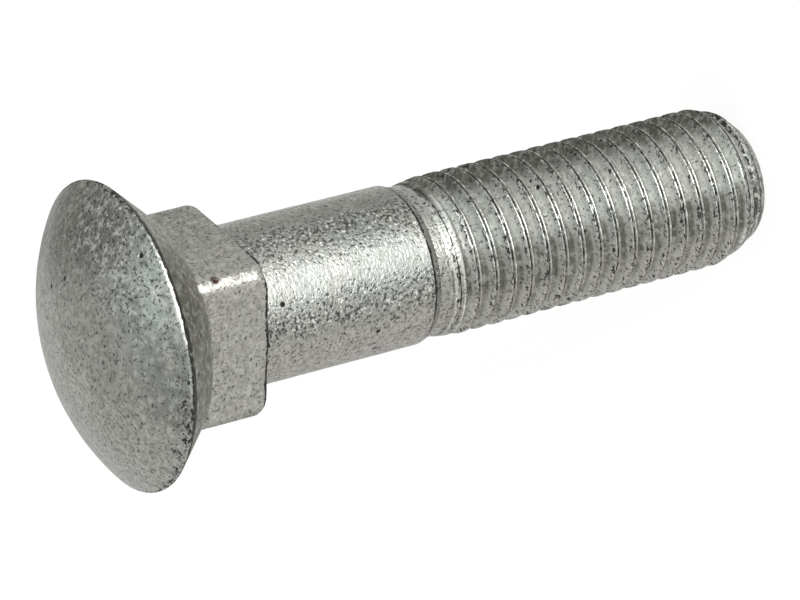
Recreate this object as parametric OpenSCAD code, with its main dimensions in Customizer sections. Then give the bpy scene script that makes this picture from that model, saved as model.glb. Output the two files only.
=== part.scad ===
// Countersunk bolt with a low domed head and a square neck, one forged and rolled piece, in millimetres.
// It stands on its threaded end: Z runs up the axis, from the flat end face at 0 to the top of the dome.
// The flats of the square neck face X and Y, and the thread is right-hand.

/* [Head] */
// diameter over the thin rim
head_d = 30.5; // [26:0.1:36]
// height of the rim's straight edge
rim_h = 0.35; // [0.2:0.05:1]
// rise of the dome above the rim
dome_h = 5.5; // [3:0.1:8]
// angle between the seat cone and the axis
seat_angle = 44; // [40:0.5:50]
// diameter where the seat cone ends in the flatter inner shoulder
shoulder_d = 22; // [20.5:0.1:25]
// fall of the inner shoulder from there to the neck
shoulder_fall = 1.1; // [0.3:0.1:2]

/* [Square neck] */
// width across the flats
neck_w = 16.2; // [15.9:0.05:17]
// rounding of the four long corners
neck_corner_r = 1.5; // [0.8:0.1:2.5]
// length from the neck's lower end to the rim's lower edge
neck_h = 11.7; // [9:0.1:16]
// rounding of the corners at the neck's lower end
neck_end_r = 1.3; // [0.6:0.1:2]

/* [Shank] */
// diameter of the plain shank
shank_d = 16; // [15.9:0.05:16.1]
// length of the plain shank between the taper and the neck
shank_h = 19; // [5:0.5:60]
// length of the taper from the shank down to the thread's blank
taper_h = 0.5; // [0.3:0.05:1.5]

/* [Thread] */
// length from the end face to the taper
thread_h = 39; // [20:0.5:60]
// diameter over the crests
thread_d = 15.9; // [15.6:0.05:16]
// diameter at the bottom of the root
root_d = 13.55; // [13.3:0.05:13.8]
// rise of the helix in one turn
pitch = 2; // [1.5:0.25:2.5]
// diameter of the blank that the thread is rolled on
blank_d = 15.15; // [14.7:0.05:15.4]
// length of bare blank between the thread and the taper
bare_h = 0.6; // [0.4:0.1:3]
// length over which the thread dies out into the blank
runout_h = 2.6; // [1:0.1:5]
// height of a crest's centre over the +X flat
crest_z = 1.33; // [0:0.01:2]

/* [Chamfered end] */
// diameter of the flat end face
end_face_d = 11.8; // [10:0.1:13]
// diameter at the top of the chamfer
chamfer_d = 14.5; // [13.6:0.1:15.5]
// height of the chamfer
chamfer_h = 1.9; // [1:0.1:3]
// height at which the crests reach their full diameter
full_crest_z = 5.1; // [3.5:0.1:8]

/* [Hidden] */
$fn = 96;
zinc_grey = [0.66, 0.67, 0.66];

// heights of the joins between the stretches
taper_z = thread_h;
shank_z = taper_z + taper_h;
neck_z = shank_z + shank_h;
rim_z = neck_z + neck_h;
shoulder_z = rim_z - (head_d - shoulder_d) / 2 / tan(seat_angle);
total_h = rim_z + rim_h + dome_h;
// the rim's top edge lies on the dome's sphere, rim_h above rim_z
dome_r = (pow(head_d / 2, 2) + pow(dome_h, 2)) / (2 * dome_h);
// from the axis to the middle of a rounded corner of the neck
neck_reach = sqrt(2) * (neck_w / 2 - neck_corner_r) + neck_corner_r;
// the turned end stays this clear of the long corners above it
corner_spare = 0.1;
// how far one stretch runs into the next
bite = 1;

// the thread is a skin of facets, which ends inside the blank
facets = 40;
runout_z = taper_z - bare_h;
skin_top = taper_z + taper_h / 2;
skin_gap = 0.03;
nearest_row = 0.12;
// half widths of the crest's flat and the root's bottom, as shares of the pitch
crest_half = 1/16;
root_half = 1/10;
root_round = 0.06;
// one turn of the section: [share of the pitch above the crest's centre, radius]
section = [
    [-crest_half, thread_d / 2],
    [crest_half, thread_d / 2],
    [0.5 - root_half, root_d / 2 + root_round],
    [0.5, root_d / 2],
    [0.5 + root_half, root_d / 2 + root_round]
];

function blend(a, b, t) = a + (b - a) * max(0, min(1, t));

// the largest radius that the chamfered end leaves at height z
function end_limit(z) = z < chamfer_h
    ? blend(end_face_d / 2, chamfer_d / 2, z / chamfer_h)
    : blend(chamfer_d / 2, thread_d / 2, (z - chamfer_h) / (full_crest_z - chamfer_h));

// the section's radius r at height z, cut by the chamfered end and dying out into the blank
function skin_r(z, r) =
    min(end_limit(z), blend(blank_d / 2 - skin_gap, r, (runout_z - z) / runout_h));

// one upright column of the skin, as [z, radius] from the end face up; turn is its share of a turn
function column(turn) = concat(
    [[0, end_face_d / 2]],
    [for (k = [-2:ceil(skin_top / pitch)]) for (p = section)
        let (z = crest_z + pitch * (k + turn + p[0]))
        if (z > nearest_row && z < skin_top - nearest_row) [z, skin_r(z, p[1])]],
    [[skin_top, blank_d / 2 - skin_gap]]
);

columns = [for (i = [0:facets - 1]) column(i / facets)];

// the number of each column's first point
function first_points(i = 0, sum = 0) =
    i == facets ? [] : concat([sum], first_points(i + 1, sum + len(columns[i])));
first = first_points();

// triangles between column a and the next one, b, climbing to the lower next point each time
function zip(a, b, i, j, p = 0, q = 0, done = []) =
    p == len(a) - 1 && q == len(b) - 1 ? done :
    q == len(b) - 1 || (p < len(a) - 1 && a[p + 1][0] + pitch / facets <= b[q + 1][0] + 0.0001)
        ? zip(a, b, i, j, p + 1, q, concat(done, [[i + p, i + p + 1, j + q]]))
        : zip(a, b, i, j, p, q + 1, concat(done, [[i + p, j + q + 1, j + q]]));

module thread_skin() {
    points = [for (i = [0:facets - 1]) for (c = columns[i])
        [c[1] * cos(360 * i / facets), c[1] * sin(360 * i / facets), c[0]]];
    wall = [for (i = [0:facets - 1])
        let (n = (i + 1) % facets)
        for (t = zip(columns[i], columns[n], first[i], first[n])) t];
    bottom = [for (i = [0:facets - 1]) first[i]];
    top = [for (i = [facets - 1:-1:0]) first[i] + len(columns[i]) - 1];
    polyhedron(points = points, faces = concat(wall, [bottom, top]), convexity = 10);
}

module blank_and_shank() {
    rotate_extrude()
        polygon([
            [0, runout_z], [blank_d / 2, runout_z], [blank_d / 2, taper_z],
            [shank_d / 2, shank_z], [shank_d / 2, neck_z + bite], [0, neck_z + bite]
        ]);
}

module neck_section() {
    inner = neck_w - 2 * neck_corner_r;
    square([neck_w, inner], center = true);
    square([inner, neck_w], center = true);
    for (x = [-1, 1], y = [-1, 1])
        translate([x * inner / 2, y * inner / 2])
            circle(r = neck_corner_r);
}

// the square neck, with its corners turned round at the lower end
module neck() {
    height = shoulder_z + bite - neck_z;
    intersection() {
        translate([0, 0, neck_z])
            linear_extrude(height = height)
                neck_section();
        translate([0, 0, neck_z])
            rotate_extrude() {
                square([neck_reach - neck_end_r, height + bite]);
                translate([0, neck_end_r])
                    square([neck_reach + corner_spare, height + bite - neck_end_r]);
                translate([neck_reach - neck_end_r, neck_end_r])
                    circle(r = neck_end_r);
            }
    }
}

module head() {
    rotate_extrude()
        intersection() {
            polygon([
                [0, shoulder_z - shoulder_fall], [neck_w / 2 - bite, shoulder_z - shoulder_fall],
                [shoulder_d / 2, shoulder_z], [head_d / 2, rim_z],
                [head_d / 2, total_h + bite], [0, total_h + bite]
            ]);
            translate([0, total_h - dome_r])
                circle(r = dome_r);
        }
}

module bolt() {
    color(zinc_grey) {
        thread_skin();
        blank_and_shank();
        neck();
        head();
    }
}

bolt();
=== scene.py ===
import math

import bpy
from mathutils import Matrix, Vector


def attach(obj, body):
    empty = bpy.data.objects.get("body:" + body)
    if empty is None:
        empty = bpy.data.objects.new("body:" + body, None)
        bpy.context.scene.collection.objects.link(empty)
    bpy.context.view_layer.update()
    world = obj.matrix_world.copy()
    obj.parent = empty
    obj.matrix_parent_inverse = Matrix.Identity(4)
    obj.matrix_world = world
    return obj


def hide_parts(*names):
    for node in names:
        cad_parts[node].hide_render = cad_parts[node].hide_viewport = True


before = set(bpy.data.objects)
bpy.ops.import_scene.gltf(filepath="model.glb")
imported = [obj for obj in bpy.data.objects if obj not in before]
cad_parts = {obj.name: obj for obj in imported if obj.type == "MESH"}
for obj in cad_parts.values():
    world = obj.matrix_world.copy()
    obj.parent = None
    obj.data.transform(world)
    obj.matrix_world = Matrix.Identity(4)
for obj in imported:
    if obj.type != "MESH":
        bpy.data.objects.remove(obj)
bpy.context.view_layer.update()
mm = 0.001
hair = 0.0003 * mm  # a gap too small to matter


def clearSelection():
    if bpy.context.mode != "OBJECT":
        bpy.ops.object.mode_set(mode="OBJECT")
    bpy.ops.object.select_all(action="DESELECT")


def makeActive(piece):
    clearSelection()
    piece.select_set(True)
    bpy.context.view_layer.objects.active = piece


def applyModifier(piece, kind, settings):
    modifier = piece.modifiers.new(kind.lower(), kind)
    for name, value in settings.items():
        setattr(modifier, name, value)
    makeActive(piece)
    bpy.ops.object.modifier_apply(modifier=modifier.name)


def selectVertices(piece, wanted):
    # only the vertices whose place passes the test stay selected, in edit mode
    makeActive(piece)
    bpy.ops.object.mode_set(mode="EDIT")
    bpy.ops.mesh.select_mode(type="VERT")
    bpy.ops.mesh.select_all(action="DESELECT")
    bpy.ops.object.mode_set(mode="OBJECT")
    for vertex in piece.data.vertices:
        vertex.select = wanted(vertex.co)
    bpy.ops.object.mode_set(mode="EDIT")


def blend(low, high, share):
    return low + (high - low) * max(0.0, min(1.0, share))


def evenSteps(count, low, high):
    # the ends of equal steps from low to high, without low itself
    return [low + (high - low) * (step + 1) / count for step in range(count)]


blankSizes = {  # millimetres and degrees
    "headDiameter": 30.5,
    "rimHeight": 0.35,
    "rimRounding": 0.38,
    "domeHeight": 5.5,
    "seatAngle": 44.0,  # from the axis to the seat cone
    "shoulderDiameter": 22.0,  # where the seat cone turns flatter, towards the neck
    "shoulderFall": 1.1,
    "shoulderSoftness": 0.5,
    "neckWidth": 16.2,
    "neckCorner": 1.5,
    "neckHeight": 11.7,
    "neckEndRounding": 0.95,
    "neckFillet": 0.45,  # zinc that gathers where the neck meets the shoulder
    "shankDiameter": 16.0,
    "shankHeight": 18.7,
    "taperHeight": 0.8,
    "threadHeight": 39.0,
    "blankDiameter": 15.15,
    "flatColumns": 14,  # columns of faces over half a flat of the neck
    "cornerColumns": 12,  # columns of faces round a corner of the neck
}

size = blankSizes
headRadius = size["headDiameter"] / 2
shankRadius = size["shankDiameter"] / 2
blankRadius = size["blankDiameter"] / 2
shankBottom = size["threadHeight"] + size["taperHeight"]
neckBottom = shankBottom + size["shankHeight"]
rimBottom = neckBottom + size["neckHeight"]
rimTop = rimBottom + size["rimHeight"]
domeTop = rimTop + size["domeHeight"]
domeRadius = (headRadius ** 2 + size["domeHeight"] ** 2) / (2 * size["domeHeight"])
neckHalf = size["neckWidth"] / 2
neckInner = neckHalf - size["neckCorner"]
neckReach = neckInner * math.sqrt(2) + size["neckCorner"]
shoulderRadius = size["shoulderDiameter"] / 2
quarter = math.pi / 2


def columnAngles():
    # even columns over the flats of the neck and finer ones round its corners
    cornerStart = math.atan2(neckInner, neckHalf)
    flat = evenSteps(size["flatColumns"], 0, cornerStart)
    corner = evenSteps(size["cornerColumns"], cornerStart, quarter - cornerStart)
    otherFlat = evenSteps(size["flatColumns"], quarter - cornerStart, quarter)
    return [turn * quarter + angle for turn in range(4) for angle in flat + corner + otherFlat]


def neckRadius(angle):
    # from the axis to the rounded square at this angle
    turn = abs((angle + quarter / 2) % quarter - quarter / 2)
    if neckHalf * math.tan(turn) <= neckInner:
        return neckHalf / math.cos(turn)
    along = neckInner * (math.cos(turn) + math.sin(turn))
    return along + math.sqrt(along ** 2 - 2 * neckInner ** 2 + size["neckCorner"] ** 2)


def neckEndHeight(radius):
    rounding = size["neckEndRounding"]
    over = radius - (neckReach - rounding)
    if over <= 0:
        return neckBottom
    return neckBottom + rounding - math.sqrt(max(0.0, rounding ** 2 - over ** 2))


def undersideHeight(radius):
    # the seat cone, turning softly into the flatter shoulder
    seatSlope = 1 / math.tan(math.radians(size["seatAngle"]))
    shoulderSlope = size["shoulderFall"] / (shoulderRadius - neckHalf)
    short = shoulderRadius - radius
    lift = (short + math.sqrt(short ** 2 + size["shoulderSoftness"] ** 2)) / 2
    return rimBottom - (headRadius - radius) * seatSlope + lift * (seatSlope - shoulderSlope)


def domeSurface(radius):
    return domeTop - domeRadius + math.sqrt(domeRadius ** 2 - radius ** 2)


# a ring is a rule that gives the radius and the height at an angle round the axis
def roundRing(radius, height):
    return lambda angle: (radius, height)


def neckEndRing(share):
    def ring(angle):
        radius = blend(shankRadius, neckRadius(angle), share)
        return radius, neckEndHeight(radius)
    return ring


def neckSideRing(share):
    def ring(angle):
        radius = neckRadius(angle)
        return radius, blend(neckEndHeight(radius), undersideHeight(radius) - size["neckFillet"], share)
    return ring


def neckFilletRing(share):
    def ring(angle):
        radius = neckRadius(angle)
        out = radius + size["neckFillet"] * share ** 2
        up = undersideHeight(radius) - size["neckFillet"] * (1 - share) ** 2
        return out, blend(up, undersideHeight(out), share ** 2)
    return ring


def seatRing(share):
    def ring(angle):
        start = neckRadius(angle) + size["neckFillet"]
        radius = blend(start, headRadius, share)
        return radius, undersideHeight(radius)
    return ring


def rimRing(swing, centreHeight):
    rounding = size["rimRounding"]
    turn = math.radians(swing)
    return roundRing(headRadius - rounding + rounding * math.cos(turn),
                     centreHeight + rounding * math.sin(turn))


def blankRings():
    rounding = size["rimRounding"]
    seatTurn = 90 - size["seatAngle"]
    domeTurn = math.degrees(math.acos(headRadius / domeRadius))
    lowCentre = rimBottom + rounding * math.tan(math.radians(seatTurn / 2))
    highCentre = rimTop - rounding * math.tan(math.radians((domeTurn) / 2))
    rings = [roundRing(blankRadius, size["threadHeight"] - 0.1)]
    for share, drop in ((0, -0.02), (0.12, -0.1), (0.35, -0.14), (0.65, -0.08), (0.93, 0),
                        (1, 0.05), (1, 0.15)):
        rings.append(roundRing(blend(blankRadius, shankRadius, share),
                               blend(size["threadHeight"], shankBottom, share) + drop))
    for height in evenSteps(38, shankBottom + 0.15, neckBottom - 0.12):
        rings.append(roundRing(shankRadius, height))
    rings.append(roundRing(shankRadius + 0.01, neckBottom - 0.03))
    for share in (0.08, 0.2, 0.35, 0.5, 0.65, 0.77, 0.87, 0.95, 0.99):
        rings.append(neckEndRing(share))
    for share in [0.006, 0.02] + evenSteps(22, 0.03, 1):
        rings.append(neckSideRing(share))
    for share in (0.3, 0.5, 0.7, 1):
        rings.append(neckFilletRing(share))
    for share in evenSteps(17, 0.02, 0.985):
        rings.append(seatRing(share))
    for swing in (-seatTurn + 2, -seatTurn * 0.66, -seatTurn * 0.33, 0):
        rings.append(rimRing(swing, lowCentre))
    for swing in (0, domeTurn * 0.33, domeTurn * 0.66, domeTurn):
        rings.append(rimRing(swing, highCentre))
    for radius in evenSteps(36, headRadius - 0.15, 0.4):
        rings.append(roundRing(radius, domeSurface(radius)))
    return rings


def makeBlank():
    angles = columnAngles()
    rings = blankRings()
    clearSelection()
    bpy.ops.mesh.primitive_circle_add(vertices=len(angles), radius=blankRadius * mm)
    piece = bpy.context.object
    bpy.ops.object.mode_set(mode="EDIT")
    bpy.ops.mesh.select_all(action="SELECT")
    for ring in rings[1:]:
        bpy.ops.mesh.extrude_edges_move(TRANSFORM_OT_translate={"value": (0, 0, mm)})
    bpy.ops.object.mode_set(mode="OBJECT")
    for vertex in piece.data.vertices:
        column = vertex.index % len(angles)
        angle = angles[column]
        radius, height = rings[vertex.index // len(angles)](angle)
        vertex.co = Vector((radius * math.cos(angle), radius * math.sin(angle), height)) * mm
    lastHeight = domeSurface(0.4) * mm
    selectVertices(piece, lambda place: place.z > lastHeight - hair)
    bpy.ops.mesh.edge_face_add()
    bpy.ops.mesh.poke()
    bpy.ops.object.mode_set(mode="OBJECT")
    return piece


threadSizes = {  # millimetres
    "majorDiameter": 16.0,
    "rootDiameter": 14.0,  # zinc fills the groove a little
    "pitch": 2.0,
    "crestHeight": 1.33,  # of the first crest's middle, over the +X side
    "lipRounding": 0.11,
    "lipOffset": 0.2,  # from the middle of the crest to the lip on each side of its seam
    "seamDepth": 0.16,
    "grooveRoundness": 1.8,  # 1 is a plain V
    "runoutTop": 37.7,
    "runoutHeight": 2.6,
    "endFaceDiameter": 11.8,
    "endRounding": 0.3,
    "chamferDiameter": 14.5,
    "chamferHeight": 1.9,
    "fullCrestHeight": 4.3,
    "chamferLean": 0.6,  # the chamfer is cut a little askew, higher away from this side
    "chamferLeanSide": 25.0,  # degrees from +X
    "columns": 144,
    "turnsBelow": 2,
    "turns": 23,
}

thread = threadSizes
threadRadius = thread["majorDiameter"] / 2
threadDepth = (thread["majorDiameter"] - thread["rootDiameter"]) / 2


def halfSection():
    # (along the axis, depth below the crest) from the crest's seam to the middle of the root
    lip = thread["lipRounding"]
    points = [(0.0, thread["seamDepth"]), (0.05, thread["seamDepth"] * 0.85)]
    for swing in (-60, -30, 0, 30, 60):
        turn = math.radians(swing)
        points.append((thread["lipOffset"] + lip * math.sin(turn), lip - lip * math.cos(turn)))
    lipEnd, lipDepth = points[-1]
    for share in evenSteps(6, 0, 1):
        fallen = 1 - (1 - share) ** thread["grooveRoundness"]
        points.append((blend(lipEnd, thread["pitch"] / 2, share), blend(lipDepth, threadDepth, fallen)))
    return points


def endLimit(height, azimuth=0.0):
    # the chamfered end, and the low first crests behind it
    lean = thread["chamferLean"] * math.cos(azimuth - math.radians(thread["chamferLeanSide"]))
    height += lean * max(0.0, min(1.0, (height - 0.5) / 1.4))
    face = thread["endFaceDiameter"] / 2
    chamfer = thread["chamferDiameter"] / 2
    if height <= thread["chamferHeight"]:
        return face + (chamfer - face) * height / thread["chamferHeight"]
    return blend(chamfer, threadRadius,
                 (height - thread["chamferHeight"]) / (thread["fullCrestHeight"] - thread["chamferHeight"]))


def threadSurface(radius, height, azimuth):
    # near the shank the rolled groove lifts out and the crests fall back to the blank
    share = max(0.0, min(1.0, (thread["runoutTop"] - height) / thread["runoutHeight"]))
    crest = blend(blankRadius, threadRadius, share ** 0.7)
    return min(crest, radius + threadDepth * (1 - share), endLimit(height, azimuth))


def makeThread():
    half = halfSection()
    section = [(-along, depth) for along, depth in reversed(half)] + half[1:]
    start = thread["crestHeight"] - thread["turnsBelow"] * thread["pitch"]
    clearSelection()
    bpy.ops.mesh.primitive_plane_add(size=mm)
    piece = bpy.context.object
    bpy.ops.object.mode_set(mode="EDIT")
    bpy.ops.mesh.select_all(action="SELECT")
    bpy.ops.mesh.merge(type="CENTER")
    bpy.ops.transform.translate(value=((threadRadius - section[0][1]) * mm, 0, (start + section[0][0]) * mm))
    for before, after in zip(section, section[1:]):
        step = ((before[1] - after[1]) * mm, 0, (after[0] - before[0]) * mm)
        bpy.ops.mesh.extrude_vertices_move(TRANSFORM_OT_translate={"value": step})
    bpy.ops.object.mode_set(mode="OBJECT")
    applyModifier(piece, "SCREW", {
        "axis": "Z",
        "angle": math.tau,
        "screw_offset": thread["pitch"] * mm,
        "iterations": thread["turns"],
        "steps": thread["columns"],
        "render_steps": thread["columns"],
    })
    bpy.ops.object.mode_set(mode="EDIT")
    bpy.ops.mesh.select_all(action="SELECT")
    bpy.ops.mesh.remove_doubles(threshold=0.002 * mm)
    bpy.ops.object.mode_set(mode="OBJECT")
    for vertex in piece.data.vertices:
        radius = math.hypot(vertex.co.x, vertex.co.y)
        azimuth = math.atan2(vertex.co.y, vertex.co.x)
        turned = threadSurface(radius / mm, vertex.co.z / mm, azimuth) * mm / radius
        vertex.co.x *= turned
        vertex.co.y *= turned
    cutAt(piece, thread["endRounding"], below=True)
    cutAt(piece, size["threadHeight"] - 0.35, below=False)
    closeEnd(piece)
    return piece


def cutAt(piece, height, below):
    makeActive(piece)
    bpy.ops.object.mode_set(mode="EDIT")
    bpy.ops.mesh.select_all(action="SELECT")
    bpy.ops.mesh.bisect(plane_co=(0, 0, height * mm), plane_no=(0, 0, 1),
                        clear_inner=below, clear_outer=not below, threshold=hair)
    bpy.ops.object.mode_set(mode="OBJECT")


def closeEnd(piece):
    # the chamfer rolls over into the flat end face
    edge = thread["endRounding"] * mm
    face = thread["endFaceDiameter"] / 2
    selectVertices(piece, lambda place: place.z < edge + hair)
    reach = endLimit(thread["endRounding"])
    height = thread["endRounding"]
    for newReach, newHeight in ((face + 0.06, 0.14), (face - 0.05, 0.04), (face - 0.2, 0.0),
                                (4.6, 0.0), (3.2, 0.0), (1.8, 0.0), (0.5, 0.0)):
        bpy.ops.mesh.extrude_edges_move(
            TRANSFORM_OT_translate={"value": (0, 0, (newHeight - height) * mm)})
        bpy.ops.transform.resize(value=(newReach / reach, newReach / reach, 1))
        reach = newReach
        height = newHeight
    bpy.ops.mesh.merge(type="CENTER")
    bpy.ops.object.mode_set(mode="OBJECT")


def joinBolt(blank, rolled):
    clearSelection()
    blank.select_set(True)
    rolled.select_set(True)
    bpy.context.view_layer.objects.active = blank
    bpy.ops.object.join()
    bpy.ops.object.mode_set(mode="EDIT")
    bpy.ops.mesh.select_mode(type="EDGE")
    bpy.ops.mesh.select_all(action="DESELECT")
    bpy.ops.mesh.select_non_manifold()  # the two open rims that face each other
    bpy.ops.mesh.bridge_edge_loops()
    bpy.ops.mesh.select_all(action="SELECT")
    bpy.ops.mesh.normals_make_consistent(inside=False)
    bpy.ops.object.mode_set(mode="OBJECT")
    blank.name = "galvanised_bolt"
    blank.data.name = "galvanised_bolt"
    return blank


bolt = joinBolt(makeBlank(), makeThread())
print("bolt modelled,", len(bolt.data.vertices), "vertices")


coatRelief = {  # millimetres
    "waveWidth": 2.6,
    "waveHeight": 0.05,
    "lumpWidth": 0.8,
    "lumpHeight": 0.03,
    "threadShare": 0.45,  # of the relief that is left on the thread
    "crestShare": 1.3,  # along the crest, where drops of zinc hang on
}


def threadPhase(place):
    # -1..1 from root to root along the axis, 0 in the crest's seam, more towards the head
    angle = math.atan2(place.y, place.x) / math.tau
    along = (place.z / mm - thread["crestHeight"]) / thread["pitch"] - angle
    return 2 * (along - round(along))


def fade(value, full, gone):
    # 1 where value is at full, 0 where it is at gone, with soft ends
    share = max(0.0, min(1.0, (value - gone) / (full - gone)))
    return share * share * (3 - 2 * share)


def side(place, azimuth, halfWidth):
    # 1 on the side of the bolt that faces this azimuth, in degrees
    angle = math.degrees(math.atan2(place.y, place.x))
    away = abs((angle - azimuth + 180) % 360 - 180)
    return fade(away, halfWidth * 0.3, halfWidth)


def addRelief(piece):
    group = piece.vertex_groups.new(name="relief")
    for vertex in piece.data.vertices:
        height = vertex.co.z / mm
        share = 1.0
        if height < thread["runoutTop"]:
            share = blend(coatRelief["threadShare"], coatRelief["crestShare"],
                          fade(abs(threadPhase(vertex.co)), 0.15, 0.4))
        if height < 0.1:
            share = 0.0
        group.add([vertex.index], share, "REPLACE")
    for name in ("wave", "lump"):
        texture = bpy.data.textures.new(name, "CLOUDS")
        texture.noise_scale = coatRelief[name + "Width"] * mm
        texture.noise_depth = 1
        applyModifier(piece, "DISPLACE", {
            "texture": texture,
            "texture_coords": "LOCAL",
            "strength": coatRelief[name + "Height"] * mm,
            "mid_level": 0.5,
            "vertex_group": group.name,
        })


def grimeAndShadeAt(place, radius, height):
    # dirt in the seam of the crests and beside it, and painted shade: a painted shadow on the shank under
    # the neck's end, on the neck's downward end rounding, a dark line at the top of the taper, under the rim
    # and round the rim away from the key light; about half of it stays where this is 0.5
    if height < thread["runoutTop"]:
        phase = threadPhase(place)
        beside = 0.4 * fade(abs(phase - 0.42), 0.04, 0.14)
        chamfer = 0.5 * fade(abs(height - 2.1), 0.15, 0.5)
        seam = (0.7 - 0.2 * side(place, -125, 45)) * fade(abs(phase), 0.05, 0.13)
        ragged = 0.4 * fade(abs(phase - thread["lipOffset"]), 0.08, 0.16)
        return max(seam, ragged, beside, chamfer)
    if height < neckBottom - 0.6:
        return 0.8 * fade(abs(height - shankBottom), 0.06, 0.15)
    # painted shadow on the shank just under the neck's end
    if height < neckBottom:
        return (0.85 - 0.45 * side(place, 25, 70)) * fade(neckBottom - height, 0.05, 0.3)
    # painted shade under the rim
    if height < rimBottom + 0.1 and radius > headRadius - 0.5:
        return 0.75 * fade(rimBottom + 0.16 - height, 0.12, 0.02)
    # painted shade on the neck's end rounding, which faces down
    if height < rimBottom:
        reach = radius - shankRadius
        edge = fade(height - neckBottom, 0.06 + 0.07 * reach, 0.16 + 0.12 * reach)
        return (0.85 - 0.5 * side(place, 25, 70)) * edge
    # painted shade round the rim, less on the side facing the key light, and darker towards the rim at -95
    # degrees
    spread = fade(radius, headRadius - 0.3, headRadius - 3) * side(place, -95, 50)
    edge = fade(radius, headRadius - 0.1, headRadius - 0.5) * (1 - side(place, -46, 42))
    return max(0.42 * spread, 0.5 * edge)


def flecksAndGlintsAt(place, radius, height):
    # fine speckle, partly painted glints: dense along both edges of the key light's highlight band on the
    # shank's smooth stretch, beside the lips, on the dome
    if height > rimBottom:
        return 0.28 + 0.4 * fade(radius, 12, 6) * side(place, -20, 60)
    if height > neckBottom:
        return 0.32
    if height > size["threadHeight"]:
        # painted glints and dark specks along both edges of the key light's highlight band
        speckled = max(side(place, -25, 25), side(place, -76, 20))
        return 0.32 - 0.26 * side(place, -50, 40) + 0.68 * speckled
    if height > thread["runoutTop"] - 2:
        return 0.5
    drops = fade(abs(threadPhase(place) - 0.36), 0.04, 0.14) * (1 - 0.8 * side(place, 20, 46))
    return 0.25 + 0.4 * drops + 0.5 * fade(height, 2.2, 3)


def mottleAt(place, radius, height):
    # coarse light and dark patches, most of all on the dome towards its rim
    if height > rimBottom:
        near = max(side(place, -25, 60), 0.3 * side(place, -110, 60))
        return 0.18 + 0.45 * fade(radius, 12, 7) * near
    if height > neckBottom:
        return 0.2
    if height > size["threadHeight"] - 1:
        return 0.15
    return 0.2 + 0.4 * fade(height, 2, 4)


def patinaAndShadeAt(place, radius, height):
    # painted shade: darker, brownish zinc on the top side of the dome and shank, on the sides turned from
    # the lamps, under the head, between rim and neck corner, on the taper and in the roots of the thread
    if height > rimBottom:
        # painted shade on the top of the dome, on its far edge and near the rim's lower side; less on the
        # rim ring facing the key light
        top = 0.82 * side(place, 10, 58) * fade(radius, 11.5, 1.5)
        light = 0.8 * side(place, -47, 32) * fade(radius, 13.3, 11.5)
        middle = side(place, -40, 125) * (0.26 + 0.2 * fade(radius, 8, 3)) * (1 - light)
        left = 0.42 * side(place, 75, 60) * fade(radius, 12, 7)
        return max(top, middle, left, 0.64 * side(place, -82, 38) * fade(radius, 12.5, 8))
    if height > neckBottom:
        # painted shade under the head's shoulder and beside the neck corner, over a darker neck
        under = fade(undersideHeight(radius) - height, 0.1, 0.5)
        beside = 0.2 * side(place, -52, 22) * fade(radius, 13.5, 11) - 0.3 * side(place, 5, 40)
        return max(under * (0.87 + beside), 0.4 + 0.2 * side(place, 30, 70))
    if height > shankBottom:
        # painted shade on the shank's top side, along the highlight's lower edge and on the sides turned
        # from the lamps
        turned = 0.3 * max(side(place, 70, 70), side(place, 170, 80))
        return 0.08 + 0.4 * side(place, -11, 34) + 0.2 * side(place, -82, 18) + turned
    # painted shade on the downward-facing taper
    if height > size["threadHeight"]:
        return 0.6
    if height > thread["runoutTop"]:
        return 0.15
    # painted shade in the roots of the thread, on flanks and lips facing away from the key light, and on the
    # first turns
    phase = threadPhase(place)
    dim = side(place, -84, 28)
    low = side(place, -118, 30)
    flank = side(place, 20, 44) + 0.38 * dim + 0.25 * side(place, -15, 24)
    full = 0.95 - 0.2 * dim - 0.15 * low
    deep = (0.75 + 0.3 * dim) * fade(abs(phase), full, full - 0.35)
    lip = 0.45 * max(side(place, -100, 42), side(place, -12, 28)) * fade(abs(phase + 0.15), 0.15, 0.3)
    runout = 0.3 * fade(height, thread["runoutTop"] - 0.5, thread["runoutTop"] - 2)
    return max(flank, deep, lip, runout, 0.55 * fade(height, 2.2, 3.2))


def rubAndHighlightAt(place, radius, height):
    # zinc rubbed bright along the lips of the thread, and a painted highlight where the key light falls on
    # the rim, the corner of the neck in front and the lips
    if height > rimBottom - 0.1:
        # painted highlight on the rim's edge on the side facing the key light
        return 0.6 * fade(radius, headRadius - 0.02, headRadius - 0.08) * side(place, -48, 30)
    if height > neckBottom:
        # painted highlight along the neck corner that faces the key light
        corner = fade(radius, 10.6, 9.9) * fade(height, neckBottom + 1.2, neckBottom + 0.6)
        return 0.58 * corner * side(place, -45, 4.5) * fade(radius, 10.9, 11.1)
    if height > thread["runoutTop"]:
        return 0.0
    # lips rubbed bright, with a painted highlight that is weaker on the side away from the key light
    lip = thread["lipOffset"]
    crisp = 0.47 * fade(abs(threadPhase(place) + lip), 0.04, 0.1)
    ragged = 0.36 * fade(abs(threadPhase(place) - lip), 0.04, 0.1)
    whole = fade(height, thread["runoutTop"] - 2.5, thread["runoutTop"] - 1)
    return max(crisp, ragged) * whole * (1 - 0.7 * side(place, -120, 45))


def mattAt(place, radius, height):
    # flanks of the thread, neck and dome keep a matt, frosted surface
    if height > neckBottom:
        return 0.5
    if height > thread["runoutTop"]:
        return 0.0
    return fade(abs(threadPhase(place)), 0.34, 0.24)


def coolAt(place, radius, height):
    # a faint green-grey where the zinc is brightest
    if height > rimBottom:
        return 0.3 + 0.7 * side(place, -42, 75) * fade(radius, 12, 7)
    if height > neckBottom:
        return 0.25
    if height > size["threadHeight"] - 2:
        return 0.7 * side(place, -42, 70)
    return 0.6 * side(place, -35, 75)


coatRules = {"grimeAndShade": grimeAndShadeAt, "flecksAndGlints": flecksAndGlintsAt, "mottled": mottleAt, "patinaAndShade": patinaAndShadeAt,
             "rubAndHighlight": rubAndHighlightAt, "matt": mattAt, "cool": coolAt}


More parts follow.
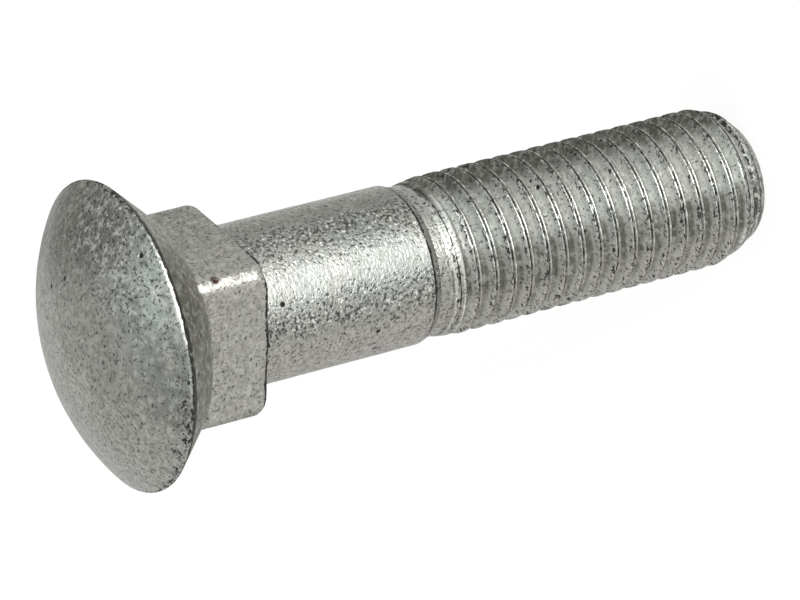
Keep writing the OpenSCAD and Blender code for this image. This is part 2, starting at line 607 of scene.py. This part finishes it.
def paintCoat(piece):
    for name, rule in coatRules.items():
        layer = piece.data.attributes.new(name, "FLOAT", "POINT")
        values = [rule(v.co, math.hypot(v.co.x, v.co.y) / mm, v.co.z / mm) for v in piece.data.vertices]
        layer.data.foreach_set("value", values)


addRelief(bolt)
paintCoat(bolt)
makeActive(bolt)
bpy.ops.object.shade_smooth_by_angle(angle=math.radians(50))
print("zinc relief and wear applied")


def srgb(code):
    channels = [int(code[start:start + 2], 16) / 255 for start in (1, 3, 5)]
    linear = [c / 12.92 if c <= 0.04045 else ((c + 0.055) / 1.055) ** 2.4 for c in channels]
    return (*linear, 1.0)


def addNode(tree, kind, settings=None, inputs=None, output=0):
    # inputs are values or other nodes' outputs, by the socket's name or number
    made = tree.nodes.new(kind)
    for name, value in (settings or {}).items():
        setattr(made, name, value)
    for name, value in (inputs or {}).items():
        if isinstance(value, bpy.types.NodeSocket):
            tree.links.new(value, made.inputs[name])
        else:
            made.inputs[name].default_value = value
    return made.outputs[output] if made.outputs else made


def startMaterial(name):
    material = bpy.data.materials.new(name)
    material.use_nodes = True
    material.node_tree.nodes.clear()
    return material, material.node_tree


zincCoat = {  # widths and heights in millimetres, sRGB colours
    "noiseWidths": {"grain": 0.22, "speckle": 0.31, "lump": 0.6, "patch": 0.8, "cloud": 6.0},
    "grainHeight": 0.018,
    "speckleHeight": 0.022,
    "roughSpeckleHeight": 0.1,  # where the zinc is flecked
    "lumpHeight": 0.028,
    "lumpFlatness": 2.0,  # lumps are this much longer round the bolt than along it
    "pitSpacing": 2.6,
    "pitRadius": 0.2,
    "pitDepth": 0.12,
    "roughness": 0.395,
    "mattRoughness": 0.18,  # added on matt zinc
    "patinaAndShadeRoughness": 0.25,
    "light": "#ACA9A3",
    "dark": "#85827C",
    "frost": "#BFC0BB",  # on the flanks of the thread
    "greenCast": "#929995",
    "patchLight": "#C4CAC2",
    "patchDark": "#5F625D",
    "speckLight": "#D2D5D0",
    "speckDark": "#2A2C2A",
    "rubAndHighlight": "#CFCEC6",
    "patinaAndShade": "#4B4A43",
    "grimeAndShade": "#1F1E1C",
    "rust": "#33211A",
    "rustPlace": (7.9, -7.3, 63.8),
    "rustRadius": 0.6,
    "clearPits": [  # places of the largest pits
        (12.3, -7.0, 71.45), (4.8, 3.9, 75.2), (6.7, 1.55, 75.05), (3.4, -7.2, 56.4),
        (-4.4, -6.7, 45.8), (-1.9, -7.8, 46.1), (6.75, -3.35, 25.65),
    ],
    "clearPitRadius": 0.3,
}


def makeZinc():
    # hot-dip galvanised steel: dull grey zinc, frosted and speckled, with small pits and dross
    coat = zincCoat
    material, tree = startMaterial("hotDipZinc")
    place = addNode(tree, "ShaderNodeTexCoord", output="Object")
    painted = {}
    for name in coatRules:
        painted[name] = addNode(tree, "ShaderNodeAttribute", {"attribute_name": name}, output="Fac")
    flattened = addNode(tree, "ShaderNodeVectorMath", {"operation": "MULTIPLY"}, {
        0: place, 1: (1.0, 1.0, coat["lumpFlatness"])})
    noise = {}
    for name, width in coat["noiseWidths"].items():
        noise[name] = addNode(tree, "ShaderNodeTexNoise", None, {
            "Vector": flattened if name == "lump" else place, "Scale": 1 / (width * mm),
            "Detail": 2.0, "Roughness": 0.6, "Distortion": 0.3})

    # small pits scattered over the coat, and a few clear ones
    cells = addNode(tree, "ShaderNodeTexVoronoi", {"feature": "F1"}, {
        "Vector": place, "Scale": 1 / (coat["pitSpacing"] * mm), "Randomness": 1.0})
    kept = addNode(tree, "ShaderNodeSeparateColor", None, {"Color": cells.node.outputs["Color"]})
    pitReach = addNode(tree, "ShaderNodeMath", {"operation": "MULTIPLY_ADD"}, {
        0: kept, 1: coat["pitRadius"] / coat["pitSpacing"], 2: 0.04})
    ragged = addNode(tree, "ShaderNodeMath", {"operation": "MULTIPLY_ADD"}, {
        0: noise["grain"], 1: 0.08, 2: cells})
    inside = addNode(tree, "ShaderNodeMath", {"operation": "SUBTRACT"}, {0: pitReach, 1: ragged})
    pit = addNode(tree, "ShaderNodeMapRange", None, {"Value": inside, "From Min": -0.01, "From Max": 0.015})
    for spot in coat["clearPits"]:
        away = addNode(tree, "ShaderNodeVectorMath", {"operation": "DISTANCE"}, {
            0: place, 1: Vector(spot) * mm}, output="Value")
        hole = addNode(tree, "ShaderNodeMapRange", None, {
            "Value": away, "From Min": coat["clearPitRadius"] * mm,
            "From Max": coat["clearPitRadius"] * 0.6 * mm})
        pit = addNode(tree, "ShaderNodeMath", {"operation": "MAXIMUM"}, {0: pit, 1: hole})

    # fine speckle: dark where the noise is low, bright where it is high, more where it is flecked; along the
    # edges of the shank's highlight band the specks are painted glints
    darkLevel = addNode(tree, "ShaderNodeMapRange", None, {
        "Value": painted["flecksAndGlints"], "To Min": 0.345, "To Max": 0.47})
    darkShare = addNode(tree, "ShaderNodeMath", {"operation": "SUBTRACT"}, {
        0: darkLevel, 1: noise["speckle"]})
    darkSpeck = addNode(tree, "ShaderNodeMapRange", None, {
        "Value": darkShare, "From Min": -0.01, "From Max": 0.04, "To Max": 0.8})
    lightLevel = addNode(tree, "ShaderNodeMapRange", None, {
        "Value": painted["flecksAndGlints"], "To Min": 0.78, "To Max": 0.61})
    lightShare = addNode(tree, "ShaderNodeMath", {"operation": "SUBTRACT"}, {
        0: noise["speckle"], 1: lightLevel})
    lightSpeck = addNode(tree, "ShaderNodeMapRange", None, {
        "Value": lightShare, "From Min": -0.01, "From Max": 0.05, "To Max": 0.8})

    # coarse patches, grime and painted shade broken up along its lines, patina and painted shade, and one
    # spot of rust
    lightPatch = addNode(tree, "ShaderNodeMapRange", None, {
        "Value": noise["patch"], "From Min": 0.5, "From Max": 0.66, "To Max": 0.6})
    lightPatch = addNode(tree, "ShaderNodeMath", {"operation": "MULTIPLY"}, {
        0: lightPatch, 1: painted["mottled"]})
    patchLevel = addNode(tree, "ShaderNodeMapRange", None, {
        "Value": painted["mottled"], "To Min": 0.31, "To Max": 0.43})
    darkPatch = addNode(tree, "ShaderNodeMath", {"operation": "SUBTRACT"}, {
        0: patchLevel, 1: noise["patch"]})
    darkPatch = addNode(tree, "ShaderNodeMapRange", None, {
        "Value": darkPatch, "From Min": -0.02, "From Max": 0.06, "To Max": 0.8})
    broken = addNode(tree, "ShaderNodeMath", {"operation": "MULTIPLY_ADD"}, {
        0: noise["lump"], 1: 1.7, 2: painted["grimeAndShade"]})
    grimeAndShade = addNode(tree, "ShaderNodeMapRange", None, {
        "Value": broken, "From Min": 1.32, "From Max": 1.48, "To Max": 0.95})
    # patina and painted shade, weaker in places
    uneven = addNode(tree, "ShaderNodeMapRange", None, {
        "Value": noise["patch"], "From Min": 0.35, "From Max": 0.65, "To Min": 1.0, "To Max": 0.75})
    patinaAndShade = addNode(tree, "ShaderNodeMath", {"operation": "MULTIPLY"}, {0: painted["patinaAndShade"], 1: uneven})
    away = addNode(tree, "ShaderNodeVectorMath", {"operation": "DISTANCE"}, {
        0: place, 1: Vector(coat["rustPlace"]) * mm}, output="Value")
    rust = addNode(tree, "ShaderNodeMapRange", None, {
        "Value": away, "From Min": coat["rustRadius"] * mm, "From Max": coat["rustRadius"] * 0.5 * mm})
    crumbled = addNode(tree, "ShaderNodeMapRange", None, {
        "Value": noise["speckle"], "From Min": 0.36, "From Max": 0.46})
    rust = addNode(tree, "ShaderNodeMath", {"operation": "MULTIPLY"}, {0: rust, 1: crumbled})

    cloudShare = addNode(tree, "ShaderNodeMapRange", None, {
        "Value": noise["cloud"], "From Min": 0.3, "From Max": 0.6, "To Min": 0.4})
    cool = addNode(tree, "ShaderNodeMath", {"operation": "MULTIPLY"}, {0: painted["cool"], 1: cloudShare})
    # rubbed zinc and painted highlight, broken up by the lump noise
    rubAndHighlightLevel = addNode(tree, "ShaderNodeMath", {"operation": "MULTIPLY_ADD"}, {
        0: noise["lump"], 1: -1.7, 2: painted["rubAndHighlight"]})
    rubAndHighlight = addNode(tree, "ShaderNodeMapRange", None, {
        "Value": rubAndHighlightLevel, "From Min": -0.42, "From Max": -0.16, "To Max": 0.85})
    # dirt, painted shade and pits share one dark colour
    dirtAndShade = addNode(tree, "ShaderNodeMath", {"operation": "MAXIMUM"}, {0: grimeAndShade, 1: pit})
    grained = addNode(tree, "ShaderNodeMath", {"operation": "ADD"}, {0: noise["lump"], 1: noise["speckle"]})
    base = addNode(tree, "ShaderNodeMapRange", None, {
        "Value": grained, "From Min": 0.82, "From Max": 1.18})
    frost = addNode(tree, "ShaderNodeMapRange", None, {
        "Value": painted["matt"], "From Min": 0.5, "From Max": 1.0, "To Max": 0.4})
    colour = srgb(coat["dark"])
    layers = [(base, "light"), (frost, "frost"), (cool, "greenCast"), (patinaAndShade, "patinaAndShade"),
              (lightPatch, "patchLight"), (darkPatch, "patchDark"), (lightSpeck, "speckLight"),
              (darkSpeck, "speckDark"), (rubAndHighlight, "rubAndHighlight"), (dirtAndShade, "grimeAndShade"), (rust, "rust")]
    for share, over in layers:
        colour = addNode(tree, "ShaderNodeMix", {"data_type": "RGBA"}, {
            "Factor": share, 6: colour, 7: srgb(coat[over])}, output=2)

    speckleHeight = addNode(tree, "ShaderNodeMapRange", None, {
        "Value": painted["flecksAndGlints"], "To Min": coat["speckleHeight"], "To Max": coat["roughSpeckleHeight"]})
    height = addNode(tree, "ShaderNodeMath", {"operation": "MULTIPLY"}, {
        0: noise["speckle"], 1: speckleHeight})
    for layer, amount in ((noise["grain"], coat["grainHeight"]), (noise["lump"], coat["lumpHeight"]),
                          (pit, -coat["pitDepth"])):
        height = addNode(tree, "ShaderNodeMath", {"operation": "MULTIPLY_ADD"}, {
            0: layer, 1: amount, 2: height})
    bump = addNode(tree, "ShaderNodeBump", None, {"Strength": 1.0, "Distance": mm, "Height": height})
    dull = addNode(tree, "ShaderNodeMath", {"operation": "MULTIPLY_ADD"}, {
        0: painted["matt"], 1: coat["mattRoughness"], 2: coat["roughness"]})
    dull = addNode(tree, "ShaderNodeMath", {"operation": "MULTIPLY_ADD"}, {
        0: patinaAndShade, 1: coat["patinaAndShadeRoughness"], 2: dull})
    metal = addNode(tree, "ShaderNodeMapRange", None, {
        "Value": painted["matt"], "To Min": 1.0, "To Max": 0.72})
    shader = addNode(tree, "ShaderNodeBsdfPrincipled", None, {
        "Base Color": colour, "Metallic": metal, "Roughness": dull, "Normal": bump})
    addNode(tree, "ShaderNodeOutputMaterial", None, {"Surface": shader})
    return material


bolt.data.materials.clear()
bolt.data.materials.append(makeZinc())
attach(bolt, "root")
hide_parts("bolt")
print("zinc coat given")


studio = {
    "floorSize": 8.0,  # metres
    "floorColour": "#F8F8F6",
    "floorOwnLight": 0.88,  # share of its whiteness that no shadow takes away
    "worldStrength": 1.0,
}


def cameraLikeRays(tree):
    # 1 for rays from the camera and for mirrored and refracted ones
    cameraRay = addNode(tree, "ShaderNodeLightPath", output="Is Camera Ray")
    path = cameraRay.node.outputs
    first = addNode(tree, "ShaderNodeMath", {"operation": "MAXIMUM"}, {
        0: cameraRay, 1: path["Is Glossy Ray"]})
    return addNode(tree, "ShaderNodeMath", {"operation": "MAXIMUM"}, {
        0: first, 1: path["Is Transmission Ray"]})


def makeFloor():
    clearSelection()
    bpy.ops.mesh.primitive_plane_add(size=studio["floorSize"])
    floor = bpy.context.object
    floor.name = "floor"
    material, tree = startMaterial("matteWhitePaper")
    ownLight = addNode(tree, "ShaderNodeMath", {"operation": "MULTIPLY"}, {
        0: cameraLikeRays(tree), 1: studio["floorOwnLight"]})
    paper = addNode(tree, "ShaderNodeBsdfDiffuse", None, {"Color": srgb(studio["floorColour"])})
    glow = addNode(tree, "ShaderNodeEmission", None, {"Color": (1, 1, 1, 1), "Strength": 1.0})
    mixed = addNode(tree, "ShaderNodeMixShader", None, {
        0: ownLight, 1: paper, 2: glow})
    addNode(tree, "ShaderNodeOutputMaterial", None, {"Surface": mixed})
    material.cycles.emission_sampling = "NONE"  # so that its own light reaches mirrored rays whole
    floor.data.materials.append(material)


def makeWorld():
    world = bpy.data.worlds.new("studioAir")
    world.use_nodes = True
    tree = world.node_tree
    tree.nodes.clear()
    air = addNode(tree, "ShaderNodeBackground", None, {
        "Color": (1, 1, 1, 1), "Strength": studio["worldStrength"]})
    addNode(tree, "ShaderNodeOutputWorld", None, {"Surface": air})
    world.cycles.sampling_method = "NONE"
    bpy.context.scene.world = world


def addLamp(name, azimuth, elevation, distance, width, height, power):
    # a soft box that faces the middle of the bolt; the angles are degrees from +X and from level
    middle = Vector((0, 0, 0.04))
    turn = math.radians(azimuth)
    lift = math.radians(elevation)
    away = Vector((math.cos(lift) * math.cos(turn), math.cos(lift) * math.sin(turn), math.sin(lift)))
    data = bpy.data.lights.new(name, "AREA")
    data.shape = "RECTANGLE"
    data.size = width
    data.size_y = height
    data.energy = power
    lamp = bpy.data.objects.new(name, data)
    bpy.context.collection.objects.link(lamp)
    lamp.location = middle + away * distance
    lamp.rotation_euler = (-away).to_track_quat("-Z", "Y").to_euler()
    return lamp


def addCamera():
    # it looks down on the standing bolt and is rolled until the head is at the left
    place = Vector((222.665, -355.601, 255.436)) * mm
    aim = Vector((-2.863, -1.825, 40.135)) * mm
    roll = -104.57
    data = bpy.data.cameras.new("camera")
    data.lens = 217.23
    data.sensor_width = 36
    camera = bpy.data.objects.new("camera", data)
    bpy.context.collection.objects.link(camera)
    camera.location = place
    turn = (aim - place).to_track_quat("-Z", "Y").to_matrix().to_4x4()
    camera.rotation_euler = (turn @ Matrix.Rotation(math.radians(roll), 4, "Z")).to_euler()
    bpy.context.scene.camera = camera


makeFloor()
makeWorld()
addLamp("keyLight", -45, 5, 0.75, 0.17, 0.2, 10.5)
addLamp("fillLight", -125, 18, 0.8, 0.4, 0.2, 1.4)
addCamera()
bpy.context.scene.view_settings.view_transform = "Standard"
print("studio set")
